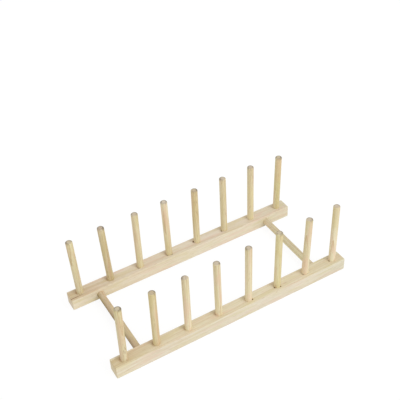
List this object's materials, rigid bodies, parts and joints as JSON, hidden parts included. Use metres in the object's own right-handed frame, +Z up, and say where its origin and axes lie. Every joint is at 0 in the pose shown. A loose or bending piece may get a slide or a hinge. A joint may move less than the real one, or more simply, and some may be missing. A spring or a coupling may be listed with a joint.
{
  "type": "thread cone stand",
  "caption": "Low wooden stand: square rails joined by round spreaders, with a row of upright pegs on each rail to hold thread cones.",
  "frame": {"origin": "on the surface that the stand rests on, midway between the two rails and midway along them", "axes": "+X along the rails, +Y from the front rail to the back rail, +Z up along the pegs"},
  "size_m": [0.3, 0.13, 0.096],
  "materials": {
    "rail_wood": "bare planed pale softwood, fine straight grain along the rail, sanded edges",
    "peg_wood": "bare turned pale dowel, grain along the peg, sawn ends a little darker",
    "spreader_wood": "bare turned dowel, a warmer tan than the rails, grain along its length"
  },
  "bodies": {
    "root": {"rail_front": "rail_wood", "rail_back": "rail_wood", "spreader_left": "spreader_wood", "spreader_right": "spreader_wood", "peg_front_1": "peg_wood", "peg_front_2": "peg_wood", "peg_front_3": "peg_wood", "peg_front_4": "peg_wood", "peg_front_5": "peg_wood", "peg_front_6": "peg_wood", "peg_front_7": "peg_wood", "peg_front_8": "peg_wood", "peg_back_1": "peg_wood", "peg_back_2": "peg_wood", "peg_back_3": "peg_wood", "peg_back_4": "peg_wood", "peg_back_5": "peg_wood", "peg_back_6": "peg_wood", "peg_back_7": "peg_wood", "peg_back_8": "peg_wood"}
  },
  "joints": []
}
